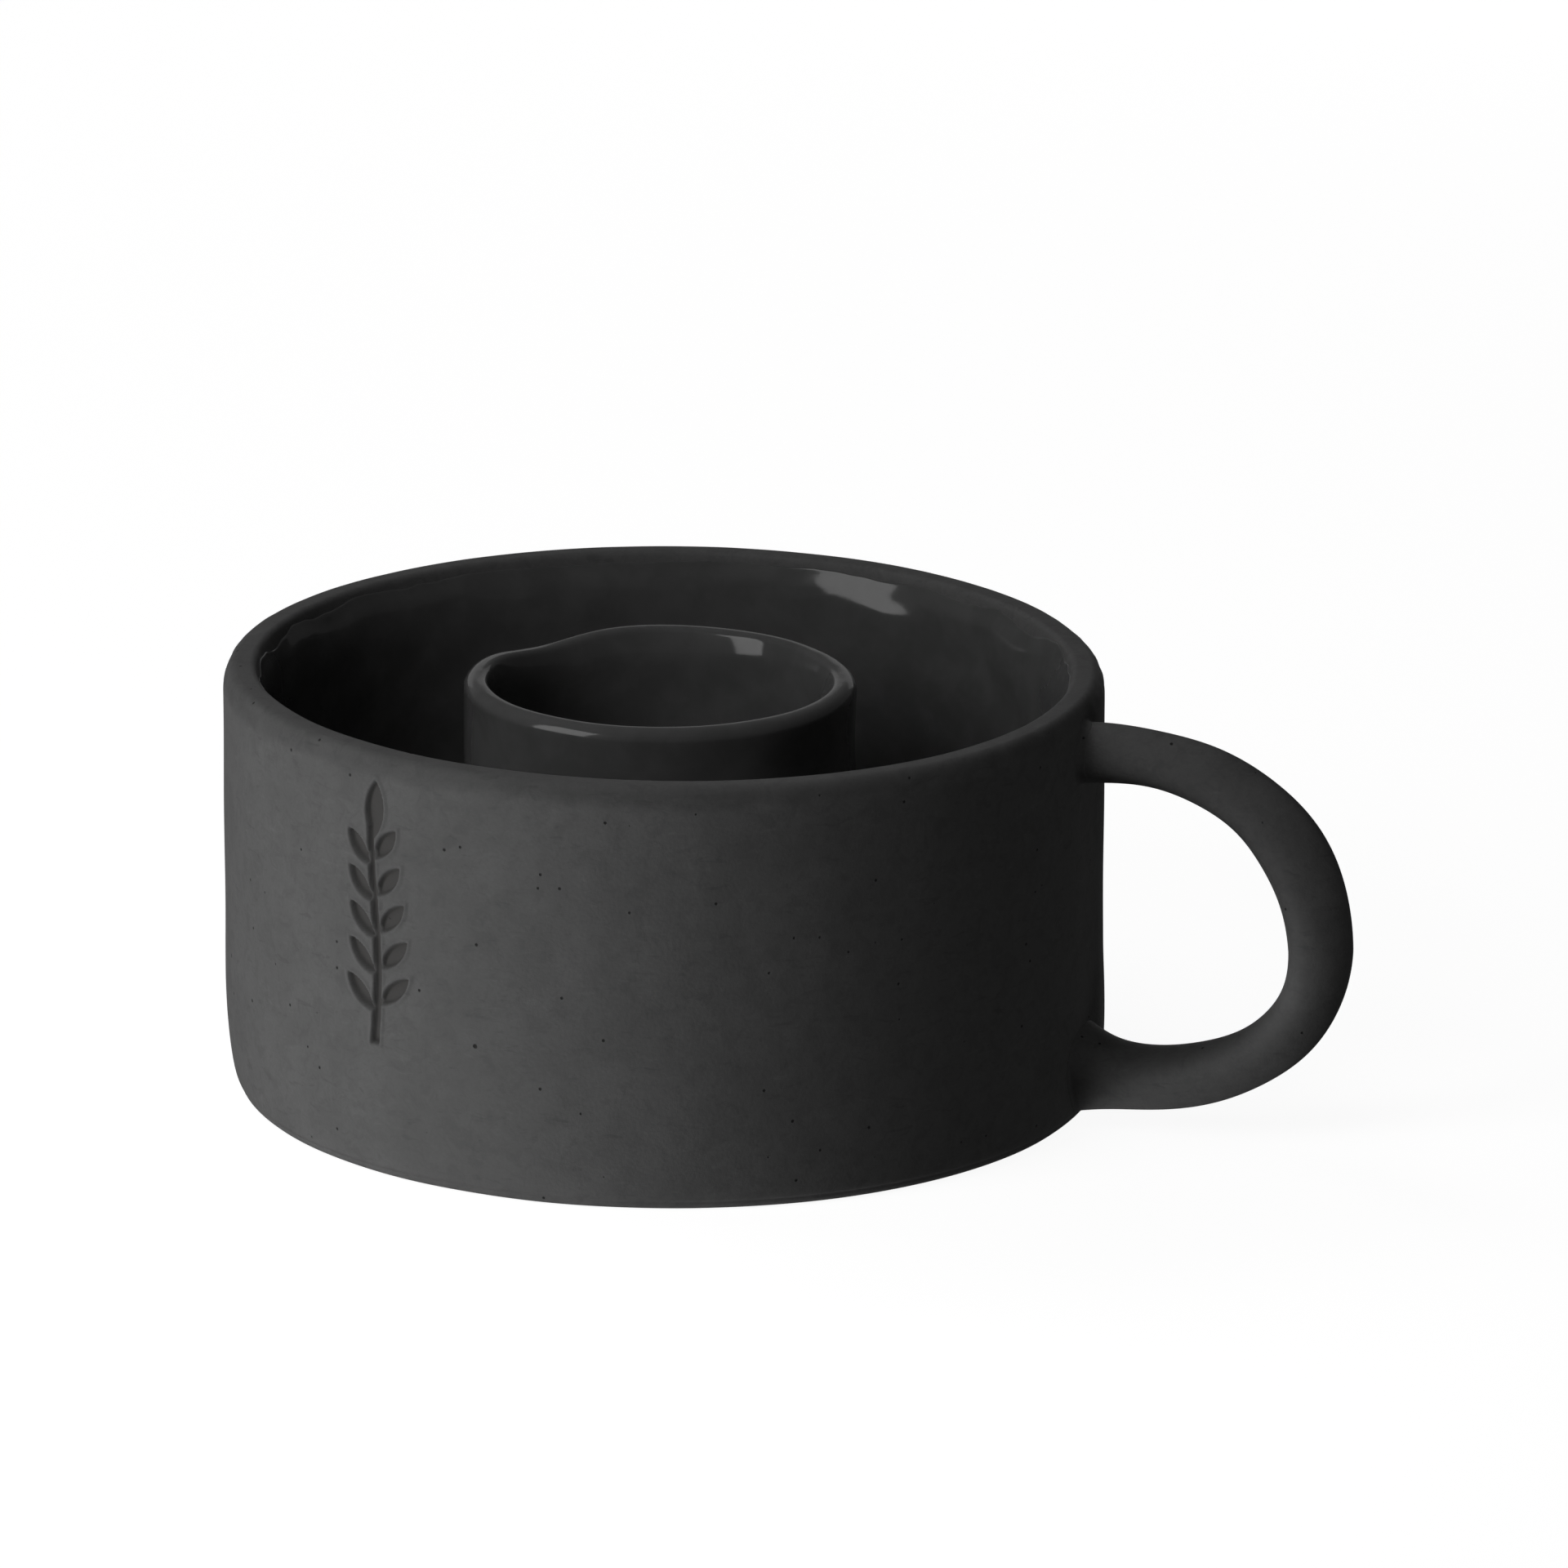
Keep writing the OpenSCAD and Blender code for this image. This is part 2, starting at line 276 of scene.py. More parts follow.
def leaf_distance(u, v, base, tip, half_w):
    """Signed distance to a pointed leaf: negative inside."""
    base, tip = np.array(base), np.array(tip)
    along = tip - base
    length = np.linalg.norm(along)
    along = along / length
    du, dv = u - (base[0] + tip[0]) / 2, v - (base[1] + tip[1]) / 2
    x = du * along[0] + dv * along[1]
    y = np.abs(-du * along[1] + dv * along[0])
    radius = (length ** 2 / 4 + half_w ** 2) / (2 * half_w)
    return np.hypot(x, y + radius - half_w) - radius


def sprig_distance(u, v):
    """Signed distance to the whole sprig, u across and v up from its foot."""
    stem_h = ORNAMENT_H - TOP_LEAF_H + STEM_TOP_IN_LEAF

    def stem_middle(height):
        """How far across the slightly bent stem's middle lies."""
        return STEM_BEND * np.sin(height / stem_h * math.pi * 1.5)

    bend = stem_middle(v)
    stem_half = STEM_HALF_W - STEM_TAPER * v / ORNAMENT_H
    beyond = np.maximum(np.maximum(-v, v - stem_h), 0)
    best = np.hypot(np.maximum(np.abs(u - bend) - stem_half, 0), beyond)
    inside = np.abs(u - bend) - stem_half
    best = np.where((best == 0) & (inside < 0), inside, best)
    top_leaf = leaf_distance(u, v, (0, stem_h - 1.2), (0.3, ORNAMENT_H), TOP_LEAF_HALF_W)
    best = np.minimum(best, top_leaf)
    for i in range(LEAF_PAIRS):
        for side in (-1, 1):
            foot_v = FIRST_LEAF_V + i * LEAF_SPACING + (RIGHT_LEAF_HIGHER if side > 0 else 0.0)
            foot_u = stem_middle(foot_v) + side * LEAF_OUT
            reach = LEAF_REACH - LEAF_SHORTENS * i
            tip = (foot_u + side * reach, foot_v + LEAF_RISE)
            best = np.minimum(best, leaf_distance(u, v, (foot_u, foot_v), tip, LEAF_HALF_W))
    return best


def ornament(theta, z):
    """(depth, share) at points of the outer wall: depth in mm below the wall and how far impressed."""
    apart = np.angle(np.exp(1j * (theta - ORNAMENT_AT)))
    u = apart * WALL_R
    v = z - ORNAMENT_LOW_Z
    depth = np.zeros(np.broadcast(u, v).shape)
    share = np.zeros_like(depth)
    near = (np.abs(u) < ORNAMENT_HALF_W + 2) & (v > -2) & (v < ORNAMENT_H + 2)
    d = sprig_distance(u[near], v[near])
    pressed = smooth(-d / ORNAMENT_EDGE + 0.35)
    burr = BURR_H * np.exp(-((d - BURR_W / 2) / (BURR_W / 2)) ** 2) * (d > 0)
    depth[near] = ORNAMENT_DEPTH * pressed - burr * (1 - pressed)
    share[near] = pressed
    return depth, share


# ---------------------------------------------------------------------------------------------
# Mesh building
# ---------------------------------------------------------------------------------------------

FINE_HALF = 6.3                         # degrees of finely spaced columns each side of the sprig
FINE_STEP = 0.18
COARSE_STEP = 1.0
LEAST_GAP = 0.3                         # between the last column and the first


def column_angles(fine):
    """Angles of a turned mesh's columns, closer together across the sprig if fine."""
    if not fine:
        return np.radians(np.arange(0, 360, COARSE_STEP))
    middle = math.degrees(ORNAMENT_AT)
    close = np.arange(middle - FINE_HALF, middle + FINE_HALF, FINE_STEP)
    wide = np.arange(middle + FINE_HALF, middle + 360 - FINE_HALF - LEAST_GAP, COARSE_STEP)
    return np.radians(np.concatenate([close, wide]))


def new_piece(name, verts_mm, faces, material):
    """Makes a mesh piece that rides on the one body."""
    mesh = bpy.data.meshes.new(name)
    mesh.from_pydata((np.asarray(verts_mm) * MM).tolist(), [], faces)
    mesh.validate()
    mesh.update()
    mesh.shade_smooth()
    obj = bpy.data.objects.new(name, mesh)
    bpy.context.scene.collection.objects.link(obj)
    mesh.materials.append(material)
    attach(obj, "root")
    return obj


def grid_faces(rows, cols, closed_rows):
    """Quads over rows x cols points, closed around the columns and, if asked, around the rows."""
    faces = []
    for i in range(rows if closed_rows else rows - 1):
        a, b = i * cols, ((i + 1) % rows) * cols
        for j in range(cols):
            k = (j + 1) % cols
            faces.append((a + j, a + k, b + k, b + j))
    return faces


def turned_points(r, z, theta):
    """(rows x columns) radii and heights to points."""
    return np.stack([r * np.cos(theta), r * np.sin(theta), z + 0 * theta], -1)


def turned_piece(name, r, z, theta, material):
    """A solid of revolution from rows of radii and heights.

    A first or last row on the axis becomes one point.
    """
    rows, cols = r.shape
    points = turned_points(r, z, theta)
    first_pole, last_pole = r[0].max() < 1e-6, r[-1].max() < 1e-6
    closed = not (first_pole or last_pole)
    body = points[(1 if first_pole else 0):(rows - 1 if last_pole else rows)]
    verts = body.reshape(-1, 3)
    count = len(body)
    faces = grid_faces(count, cols, closed)
    if first_pole:
        verts = np.vstack([verts, points[0, 0]])
        pole = len(verts) - 1
        faces += [(pole, (j + 1) % cols, j) for j in range(cols)]
    if last_pole:
        verts = np.vstack([verts, points[-1, 0]])
        pole = len(verts) - 1
        base = (count - 1) * cols
        faces += [(pole, base + j, base + (j + 1) % cols) for j in range(cols)]
    return new_piece(name, verts, faces, material)


# ---------------------------------------------------------------------------------------------
# Materials
# ---------------------------------------------------------------------------------------------


class Nodes:
    """A short way to write a shader: every call adds one node."""

    def __init__(self, name):
        self.material = bpy.data.materials.new(name)
        self.material.use_nodes = True
        self.tree = self.material.node_tree
        self.tree.nodes.clear()
        output = self.tree.nodes.new("ShaderNodeOutputMaterial")
        self.shader = self.tree.nodes.new("ShaderNodeBsdfPrincipled")
        self.tree.links.new(self.shader.outputs["BSDF"], output.inputs["Surface"])
        where = self.tree.nodes.new("ShaderNodeTexCoord")
        scale = self.tree.nodes.new("ShaderNodeVectorMath")
        scale.operation = "SCALE"
        scale.inputs["Scale"].default_value = 1 / MM
        self.tree.links.new(where.outputs["Object"], scale.inputs[0])
        self.mm = scale.outputs["Vector"]          # the point's place in millimetres
        parts = self.tree.nodes.new("ShaderNodeSeparateXYZ")
        self.tree.links.new(self.mm, parts.inputs[0])
        self.height = parts.outputs["Z"]

    def stretched(self, lengthwise):
        """The place with its level directions shortened, for marks that run round the part."""
        node = self.tree.nodes.new("ShaderNodeVectorMath")
        node.operation = "MULTIPLY"
        self.put(node.inputs[0], self.mm)
        node.inputs[1].default_value = (lengthwise, lengthwise, 1.0)
        return node.outputs["Vector"]

    def put(self, socket, value):
        """Links a node's output to the socket, or sets the socket to a plain value."""
        if isinstance(value, bpy.types.NodeSocket):
            self.tree.links.new(value, socket)
        else:
            socket.default_value = value

    def noise(self, size_mm, detail=2.0, rough=0.5, distortion=0.0, vector=None):
        """Noise from 0 to 1 whose lumps are about size_mm across."""
        node = self.tree.nodes.new("ShaderNodeTexNoise")
        self.put(node.inputs["Vector"], vector or self.mm)
        node.inputs["Scale"].default_value = 1 / size_mm
        node.inputs["Detail"].default_value = detail
        node.inputs["Roughness"].default_value = rough
        node.inputs["Distortion"].default_value = distortion
        return node.outputs["Fac"]

    def cells(self, size_mm):
        """Distance to, and a random colour of, the nearest of points about size_mm apart."""
        node = self.tree.nodes.new("ShaderNodeTexVoronoi")
        self.put(node.inputs["Vector"], self.mm)
        node.inputs["Scale"].default_value = 1 / size_mm
        return node.outputs["Distance"], node.outputs["Color"]

    def math(self, operation, a, b):
        """One arithmetic operation on two values."""
        node = self.tree.nodes.new("ShaderNodeMath")
        node.operation = operation
        self.put(node.inputs[0], a)
        self.put(node.inputs[1], b)
        return node.outputs["Value"]

    def band(self, value, low, high, out_low=0.0, out_high=1.0):
        """value from low..high eased to out_low..out_high."""
        node = self.tree.nodes.new("ShaderNodeMapRange")
        node.interpolation_type = "SMOOTHSTEP"
        self.put(node.inputs["Value"], value)
        node.inputs["From Min"].default_value = low
        node.inputs["From Max"].default_value = high
        node.inputs["To Min"].default_value = out_low
        node.inputs["To Max"].default_value = out_high
        return node.outputs["Result"]

    def blend(self, share, a, b):
        """Colour a where share is 0 and b where it is 1."""
        node = self.tree.nodes.new("ShaderNodeMix")
        node.data_type = "RGBA"
        self.put(node.inputs[0], share)
        self.put(node.inputs[6], a)
        self.put(node.inputs[7], b)
        return node.outputs[2]

    def red(self, colour):
        """The red part of a colour, used as a random number."""
        node = self.tree.nodes.new("ShaderNodeSeparateColor")
        self.put(node.inputs["Color"], colour)
        return node.outputs["Red"]

    def attribute(self, name):
        """A number stored on the mesh's points."""
        node = self.tree.nodes.new("ShaderNodeAttribute")
        node.attribute_name = name
        return node.outputs["Fac"]

    def bump(self, height, distance_mm, strength=1.0, under=None):
        """A bumped normal, on top of the one given as under."""
        node = self.tree.nodes.new("ShaderNodeBump")
        node.inputs["Strength"].default_value = strength
        node.inputs["Distance"].default_value = distance_mm * MM
        self.put(node.inputs["Height"], height)
        if under is not None:
            self.put(node.inputs["Normal"], under)
        return node.outputs["Normal"]

    def set(self, name, value):
        """Sets or links one of the shader's own sockets."""
        self.put(self.shader.inputs[name], value)


def grey(level, warmth=0.0):
    """A neutral colour, or a little warm."""
    return (level * (1 + warmth), level, level * (1 - warmth), 1.0)


CLAY = 0.123                            # how much light the fired body reflects
GLAZE = 0.084                           # and how much the glaze does


def pits(n, spacing, share, size):
    """Small round dark pits: one in some of the cells of a grid about spacing mm apart."""
    distance, colour = n.cells(spacing)
    chosen = n.math("LESS_THAN", n.red(colour), share)
    spot = n.band(distance, size * 0.55 / spacing, size / spacing, 1.0, 0.0)
    return n.math("MULTIPLY", chosen, spot)


def matt_clay(name, level, stamped=False):
    """Dry unglazed stoneware: clouded, blotched, wiped and finely grained, with small dark pits."""
    n = Nodes(name)
    clouds = n.band(n.noise(7.0, 4.0, 0.62, 0.4), 0.3, 0.7)
    grain = n.noise(0.45, 3.0, 0.6)
    colour = n.blend(clouds, grey(level * 0.93), grey(level * 1.06))
    blotches = n.band(n.noise(2.4, 3.0, 0.7, 0.8), 0.42, 0.72)
    colour = n.blend(n.math("MULTIPLY", blotches, 0.6), colour, grey(level * 0.76))
    wiped = n.noise(1.0, 3.0, 0.6, 0.6, n.stretched(0.3))
    colour = n.blend(n.band(wiped, 0.58, 0.78, 0.0, 0.35), colour, grey(level * 1.35))
    colour = n.blend(n.band(wiped, 0.4, 0.28, 0.0, 0.4), colour, grey(level * 0.6))
    colour = n.blend(n.band(grain, 0.35, 0.75, 0.0, 0.3), colour, grey(level * 0.78))
    fine_pits = pits(n, 2.6, 0.4, 0.23)
    large_pits = pits(n, 7.0, 0.4, 0.36)
    holes = n.math("MAXIMUM", fine_pits, large_pits)
    colour = n.blend(holes, colour, grey(level * 0.22))
    if stamped:
        # painted shade on the rim's rounded shoulder: a darker band just under the top, with an uneven
        # lower edge
        ragged = n.math("MULTIPLY", n.noise(4.0, 3.0, 0.6), 2.6)
        rim_shoulder_shade = n.band(n.math("ADD", n.height, ragged), RIM_Z - 1.8, RIM_Z - 0.4, 0.0, 0.24)
        rim_shoulder_shade = n.math("MULTIPLY", rim_shoulder_shade, n.band(n.height, RIM_Z - 1.2, RIM_Z - 0.2, 1.0, 0.35))
        colour = n.blend(rim_shoulder_shade, colour, grey(level * 0.35))
        # painted shade in the impressions: the sprig's recesses are darkened, and warmed a little, by
        # how far each point is pressed in
        colour = n.blend(n.math("MULTIPLY", n.attribute("impressed"), 0.9), colour,
                         grey(level * 0.5, 0.03))
    n.set("Base Color", colour)
    n.set("Roughness", n.band(clouds, 0.0, 1.0, 0.64, 0.72))
    n.set("Specular IOR Level", 0.12)
    normal = n.bump(n.noise(3.2, 2.0, 0.5), 0.14, 0.55)
    normal = n.bump(wiped, 0.03, 0.6, normal)
    normal = n.bump(grain, 0.05, 0.7, normal)
    normal = n.bump(n.math("SUBTRACT", 1.0, holes), 0.12, 0.9, normal)
    n.set("Normal", normal)
    return n.material


def gloss_glaze(name):
    """A dark gloss glaze, a little uneven, with rare pinholes."""
    n = Nodes(name)
    clouds = n.band(n.noise(6.0, 3.0, 0.55, 0.3), 0.3, 0.7)
    colour = n.blend(clouds, grey(GLAZE * 0.9), grey(GLAZE * 1.1))
    holes = pits(n, 6.0, 0.10, 0.3)
    n.set("Base Color", n.blend(holes, colour, grey(GLAZE * 0.2)))
    n.set("Roughness", 0.1)
    n.set("Specular IOR Level", 0.3)
    normal = n.bump(n.noise(5.0, 1.0, 0.4), 0.12, 0.4)
    normal = n.bump(n.noise(1.5, 2.0, 0.5), 0.02, 0.4, normal)
    normal = n.bump(n.math("SUBTRACT", 1.0, holes), 0.1, 0.8, normal)
    n.set("Normal", normal)
    return n.material


BOWL_CLAY = matt_clay("bare_stoneware", CLAY, stamped=True)
HANDLE_CLAY = matt_clay("handle_stoneware", CLAY * 0.97)
CUP_CLAY = matt_clay("cup_stoneware", CLAY)
SLIP = matt_clay("wiped_slip", CLAY * 0.93)
GLOSS = gloss_glaze("gloss_glaze")


# ---------------------------------------------------------------------------------------------
# Bowl
# ---------------------------------------------------------------------------------------------


def make_bowl():
    """The clay of the bowl, with the sprig impressed in its wall."""
    theta = column_angles(fine=True)
    lip = lip_inside(INNER_R, RIM_Z, RIM_INNER_R, LIP_H)
    wall_foot = trough(0.0)[:TROUGH_FILLET_STEPS + 1]
    inside = np.concatenate([
        lip_edge(INNER_R, RIM_Z, RIM_INNER_R, LIP_H),
        lip[1:],
        line(lip[-1], wall_foot[0], 2.0),
        wall_foot,
        line(wall_foot[-1], (0, FLOOR_Z), 3.0),
        [[0.0, FLOOR_Z]]])
    underside, outside = bowl_underside(), bowl_outside()
    outline = np.concatenate([underside, outside, inside])
    r = outline[:, :1] + 0 * theta
    z = outline[:, 1:] + 0 * theta
    out, up = bowl_wander(theta, r, z)
    first, last = len(underside), len(underside) + len(outside)
    depth, share = np.zeros(r.shape), np.zeros(r.shape)
    wide_theta = np.broadcast_to(theta, r.shape)
    depth[first:last], share[first:last] = ornament(wide_theta[first:last], z[first:last])
    r = np.maximum(r + out * (r > 0) - depth, 0)
    bowl = turned_piece("bowl_body", r, z + up, theta, BOWL_CLAY)
    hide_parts("bowl")
    # how far each point is impressed, which the clay's shader uses for painted shade in the
    # impressions; the rows on the axis are left out
    impressed = bowl.data.attributes.new("impressed", "FLOAT", "POINT")
    values = np.zeros(len(bowl.data.vertices))
    body = share[1:-1].reshape(-1)
    values[:len(body)] = body
    impressed.data.foreach_set("value", values)


GLAZE_EDGE_AT = 0.75                    # how far the lining starts from the rim's inner edge
GLAZE_EDGE_ROUND = 0.3
GLAZE_FULL_AT = 2.6                     # from its edge to where the lining has its full thickness
GLAZE_LEAST_T = 0.02
GLAZE_ROOT = 0.15                       # how deep the lining's back lies in the clay
GLAZE_ROWS = 90                         # closer together towards its edge


def make_bowl_glaze():
    """The lining: a thin shell whose upper edge wavers below the rim and thins out to a rounded end."""
    theta = column_angles(fine=False)
    surface = bowl_inside(0.0)
    steps = np.r_[0, np.cumsum(np.linalg.norm(np.diff(surface, axis=0), axis=1))]
    normal = np.gradient(surface, axis=0)
    normal = np.stack([normal[:, 1], -normal[:, 0]], -1)
    normal /= np.linalg.norm(normal, axis=1)[:, None]
    scallop = ripple(theta, 0 * theta, 5, 8, 30.0, 9.0, INNER_R)
    nicks = ripple(theta, 0 * theta, 8, 10, 8.0, 2.5, INNER_R)
    at_sides = 0.3 + 0.7 * np.cos(theta - SIDE) ** 2
    start = GLAZE_EDGE_AT + at_sides * (0.42 * scallop + 0.16 * nicks)
    rows = np.linspace(0, 1, GLAZE_ROWS) ** 1.6
    along = start + (steps[-1] - start) * rows[:, None]
    past_edge = along - start
    thickness = GLAZE_T * (0.25 + 0.75 * smooth(past_edge / GLAZE_FULL_AT))
    rounding = np.sqrt(np.clip(1 - (1 - past_edge / GLAZE_EDGE_ROUND) ** 2, 0, 1))
    thickness = thickness * np.where(past_edge < GLAZE_EDGE_ROUND, rounding, 1.0)
    uneven = 0.09 * ripple(theta, along, 31, 10, 24.0, 7.0, INNER_R) * smooth(past_edge / 2.0)

    def at(lift):
        """Radii and heights of the lining's rows, raised by lift over the clay."""
        r = np.interp(along, steps, surface[:, 0]) + lift * np.interp(along, steps, normal[:, 0])
        z = np.interp(along, steps, surface[:, 1]) + lift * np.interp(along, steps, normal[:, 1])
        out, up = bowl_wander(theta, r, z)
        cup_out = cup_wander(theta, z)[0]
        near_cup = 1 - smooth((r - CUP_R) / 6.0)
        return r + out + near_cup * cup_out, z + up

    front_r, front_z = at(thickness + uneven + GLAZE_LEAST_T)
    back_r, back_z = at(np.full(along.shape, -GLAZE_ROOT))
    r = np.concatenate([front_r, back_r[::-1]])
    z = np.concatenate([front_z, back_z[::-1]])
    lining = turned_piece("bowl_lining_glaze", r[::-1], z[::-1], theta, GLOSS)
    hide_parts("bowl_glaze")


# ---------------------------------------------------------------------------------------------
# Candle cup
# ---------------------------------------------------------------------------------------------


COAT_ROOT = 0.12                        # how deep the coat's back lies in the clay


def cup_outline(lift):
    """The cup's outside, rim and inside, raised by lift over the clay, from seam to floor."""
    outer_r = CUP_R - GLAZE_T + lift
    inner_r = SEAT_R + GLAZE_T - lift
    top = CUP_Z - GLAZE_T + lift
    outer_edge_r = CUP_RIM_OUTER_R - GLAZE_T + lift
    inner_edge_r = CUP_RIM_INNER_R - GLAZE_T + lift
    lip = lip_inside(inner_r, top, inner_edge_r, CUP_LIP_H, 16)
    f = CUP_FLOOR_FILLET_R
    floor_corner = arc(inner_r - f, FLOOR_Z + lift + f, f, f, 0, -90, 8)
    return np.concatenate([
        [[outer_r, FLOOR_Z + CUP_SEAM_R]],
        line((outer_r, FLOOR_Z + CUP_SEAM_R), (outer_r, top - outer_edge_r), 0.8),
        arc(outer_r - outer_edge_r, top - outer_edge_r, outer_edge_r, outer_edge_r, 0, 90, 12),
        lip_edge(inner_r, top, inner_edge_r, CUP_LIP_H),
        lip[1:],
        line(lip[-1], floor_corner[0], 0.8),
        floor_corner])


def make_cup_clay():
    """The cup's clay, which the glaze covers down to the slip at its foot."""
    theta = column_angles(fine=False)
    outline = cup_outline(0.0)
    outline = np.concatenate([[[CUP_R - GLAZE_T, FLOOR_Z]], outline,
                              [[SEAT_R + GLAZE_T - CUP_FLOOR_FILLET_R, FLOOR_Z - 0.05]]])
    r, z = outline[:, :1] + 0 * theta, outline[:, 1:] + 0 * theta
    out, up = cup_wander(theta, z)
    cup = turned_piece("candle_cup_body", r + out, z + up, theta, CUP_CLAY)
    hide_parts("candle_cup")


def make_cup_glaze():
    """The cup's coat: one closed shell from the slip at its foot over the rim to its floor."""
    theta = column_angles(fine=False)
    front, back = cup_outline(GLAZE_T), cup_outline(-COAT_ROOT)
    front = np.concatenate([front, line(front[-1], (0, front[-1][1]), 1.5), [[0.0, front[-1][1]]]])
    back = np.concatenate([[[0.0, FLOOR_Z - 0.1]], back[::-1]])
    outline = np.concatenate([front, back])
    r, z = outline[:, :1] + 0 * theta, outline[:, 1:] + 0 * theta
    out, up = cup_wander(theta, z)
    uneven = 0.06 * ripple(theta, z, 41, 10, 20.0, 7.0, CUP_R)
    uneven[len(front):] = 0
    # 1 on the outside of the wall, -1 on its inside, changing evenly over the lip
    facing_out = np.clip((r - (CUP_R + SEAT_R) / 2) / ((CUP_R - SEAT_R) / 2), -1, 1)
    r = np.where(r > 0.5, r + out + uneven * facing_out, r)
    z = z + up
    rows, cols = r.shape
    points = turned_points(r, z, theta)
    top, under = len(front) - 1, len(front)
    upper = points[:top].reshape(-1, 3)
    lower = points[under + 1:].reshape(-1, 3)
    verts = np.vstack([upper, points[top, :1], points[under, :1], lower])
    pole_top, pole_under = len(upper), len(upper) + 1
    faces = grid_faces(top, cols, False)
    base = (top - 1) * cols
    faces += [(pole_top, base + j, base + (j + 1) % cols) for j in range(cols)]
    start = pole_under + 1
    faces += [(pole_under, start + (j + 1) % cols, start + j) for j in range(cols)]
    count = rows - under - 1
    faces += [tuple(start + k for k in quad) for quad in grid_faces(count, cols, False)]
    end = start + (count - 1) * cols
    faces += [(end + j, end + (j + 1) % cols, (j + 1) % cols, j) for j in range(cols)]
    coat = new_piece("candle_cup_glaze", verts, faces, GLOSS)
    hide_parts("cup_glaze")


# ---------------------------------------------------------------------------------------------
# Handle
# ---------------------------------------------------------------------------------------------

HANDLE_R = 3.775
TIP_R = HANDLE_R * 1.05
ROOT_X = BOWL_HIGH[1] - 5               # the loop's ends lie in the clay of the wall
TIP_X = HANDLE_HIGH[0] - TIP_R
TIP_Z = 25.6
UPPER_ROOT_Z = 46.8
LOWER_ROOT_Z = 7.6
# control points (x, z) of the two halves of the loop's centre line
UPPER_ARM = np.array([[ROOT_X, UPPER_ROOT_Z], [BOWL_HIGH[1] + 10.3, UPPER_ROOT_Z + 3.1],
                      [TIP_X - 1.1, UPPER_ROOT_Z - 1.0], [TIP_X, TIP_Z]])
LOWER_ARM = np.array([[TIP_X, TIP_Z], [TIP_X, TIP_Z - 13.8],
                      [BOWL_HIGH[1] + 15.2, LOWER_ROOT_Z - 4.3], [ROOT_X, LOWER_ROOT_Z]])
OUTER_TAPER = 0.33                      # how much narrower the section is on the loop's outer side
HANDLE_FROM = 0.02                      # where it starts and stops along the centre line, 0 to 1
HANDLE_TO = 0.99
HANDLE_RUN = 95.0                       # length of the centre line
HANDLE_SIDES = 72
HANDLE_RINGS = 260


def bezier(p, t):
    """Points of a cubic curve with control points p."""
    t = t[:, None]
    s = 1 - t
    return s ** 3 * p[0] + 3 * s ** 2 * t * p[1] + 3 * s * t ** 2 * p[2] + t ** 3 * p[3]


def bezier_slope(p, t):
    """The curve's direction at the same points, not of unit length."""
    t = t[:, None]
    s = 1 - t
    return 3 * s ** 2 * (p[1] - p[0]) + 6 * s * t * (p[2] - p[1]) + 3 * t ** 2 * (p[3] - p[2])


def handle_centre(u):
    """(x, z) of the centre line, u running from 0 at the upper root to 1 at the lower."""
    upper = (u < 0.5)[:, None]
    return np.where(upper, bezier(UPPER_ARM, 2 * u), bezier(LOWER_ARM, 2 * u - 1))


def handle_heading(u):
    """Unit direction of the centre line."""
    upper = (u < 0.5)[:, None]
    d = np.where(upper, bezier_slope(UPPER_ARM, 2 * u), bezier_slope(LOWER_ARM, 2 * u - 1))
    return d / np.linalg.norm(d, axis=1)[:, None]


def swell(u, at, width):
    """A rounded hump of height 1 at one place along the handle."""
    return np.exp(-((u - at) / width) ** 2)


def handle_radius(u):
    """Slimmer on the upper arm, fuller at the turn, flared at the lower root."""
    return HANDLE_R * (1 - 0.07 * swell(u, 0.15, 0.08) + 0.13 * swell(u, 0.4, 0.1)
                       - 0.05 * swell(u, 0.68, 0.1) + 0.15 * swell(u, 1.0, 0.14)
                       + 0.6 * swell(u, 1.0, 0.05))


def handle_points(u, angle, extra):
    """Points round the handle's section at each u; angle 0 is the loop's outer side."""
    centre, heading = handle_centre(u), handle_heading(u)
    r = handle_radius(u)[:, None] + extra
    x = centre[:, :1] - heading[:, 1:] * r * np.cos(angle)
    z = centre[:, 1:] + heading[:, :1] * r * np.cos(angle)
    return np.stack([x, r * np.sin(angle) * (1 - OUTER_TAPER * np.cos(angle)), z], -1)


def make_handle():
    """The loop, whose two ends stop inside the clay of the wall."""
    u = np.linspace(HANDLE_FROM, HANDLE_TO, HANDLE_RINGS)
    angle = np.linspace(0, math.tau, HANDLE_SIDES, endpoint=False)
    points = handle_points(u, angle, handle_unevenness(u, angle))
    faces = [quad[::-1] for quad in grid_faces(HANDLE_RINGS, HANDLE_SIDES, False)]
    last = (HANDLE_RINGS - 1) * HANDLE_SIDES
    faces.append(tuple(range(HANDLE_SIDES)))
    faces.append(tuple(last + j for j in reversed(range(HANDLE_SIDES))))
    handle = new_piece("handle_loop", points.reshape(-1, 3), faces, HANDLE_CLAY)
    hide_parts("handle")


def handle_unevenness(u, angle):
    """Dents and swellings left by the hand, in mm, for each u and angle."""
    run = (u * HANDLE_RUN)[:, None]
    return 0.09 * ripple(angle, run, 61, 8, 30.0, 9.0, HANDLE_R)


def wall_radius(z):
    """Radius of the bowl's outside at a height, before it wanders."""
    outside = bowl_outside()
    return np.interp(z, outside[:, 1], outside[:, 0])


def on_wall(y, z, lift):
    """The point of the bowl's wandering outside over (y, z) on the handle's side, raised by lift."""
    r = wall_radius(z)
    for _ in range(2):
        x = np.sqrt(np.maximum(r ** 2 - y ** 2, 1.0))
        out, _ = bowl_wander(np.arctan2(y, x), np.full(y.shape, WALL_R), z)
        r = wall_radius(z) + out
    x = np.sqrt(np.maximum((r + lift) ** 2 - y ** 2, 1.0))
    return np.stack([x, y, z], -1)


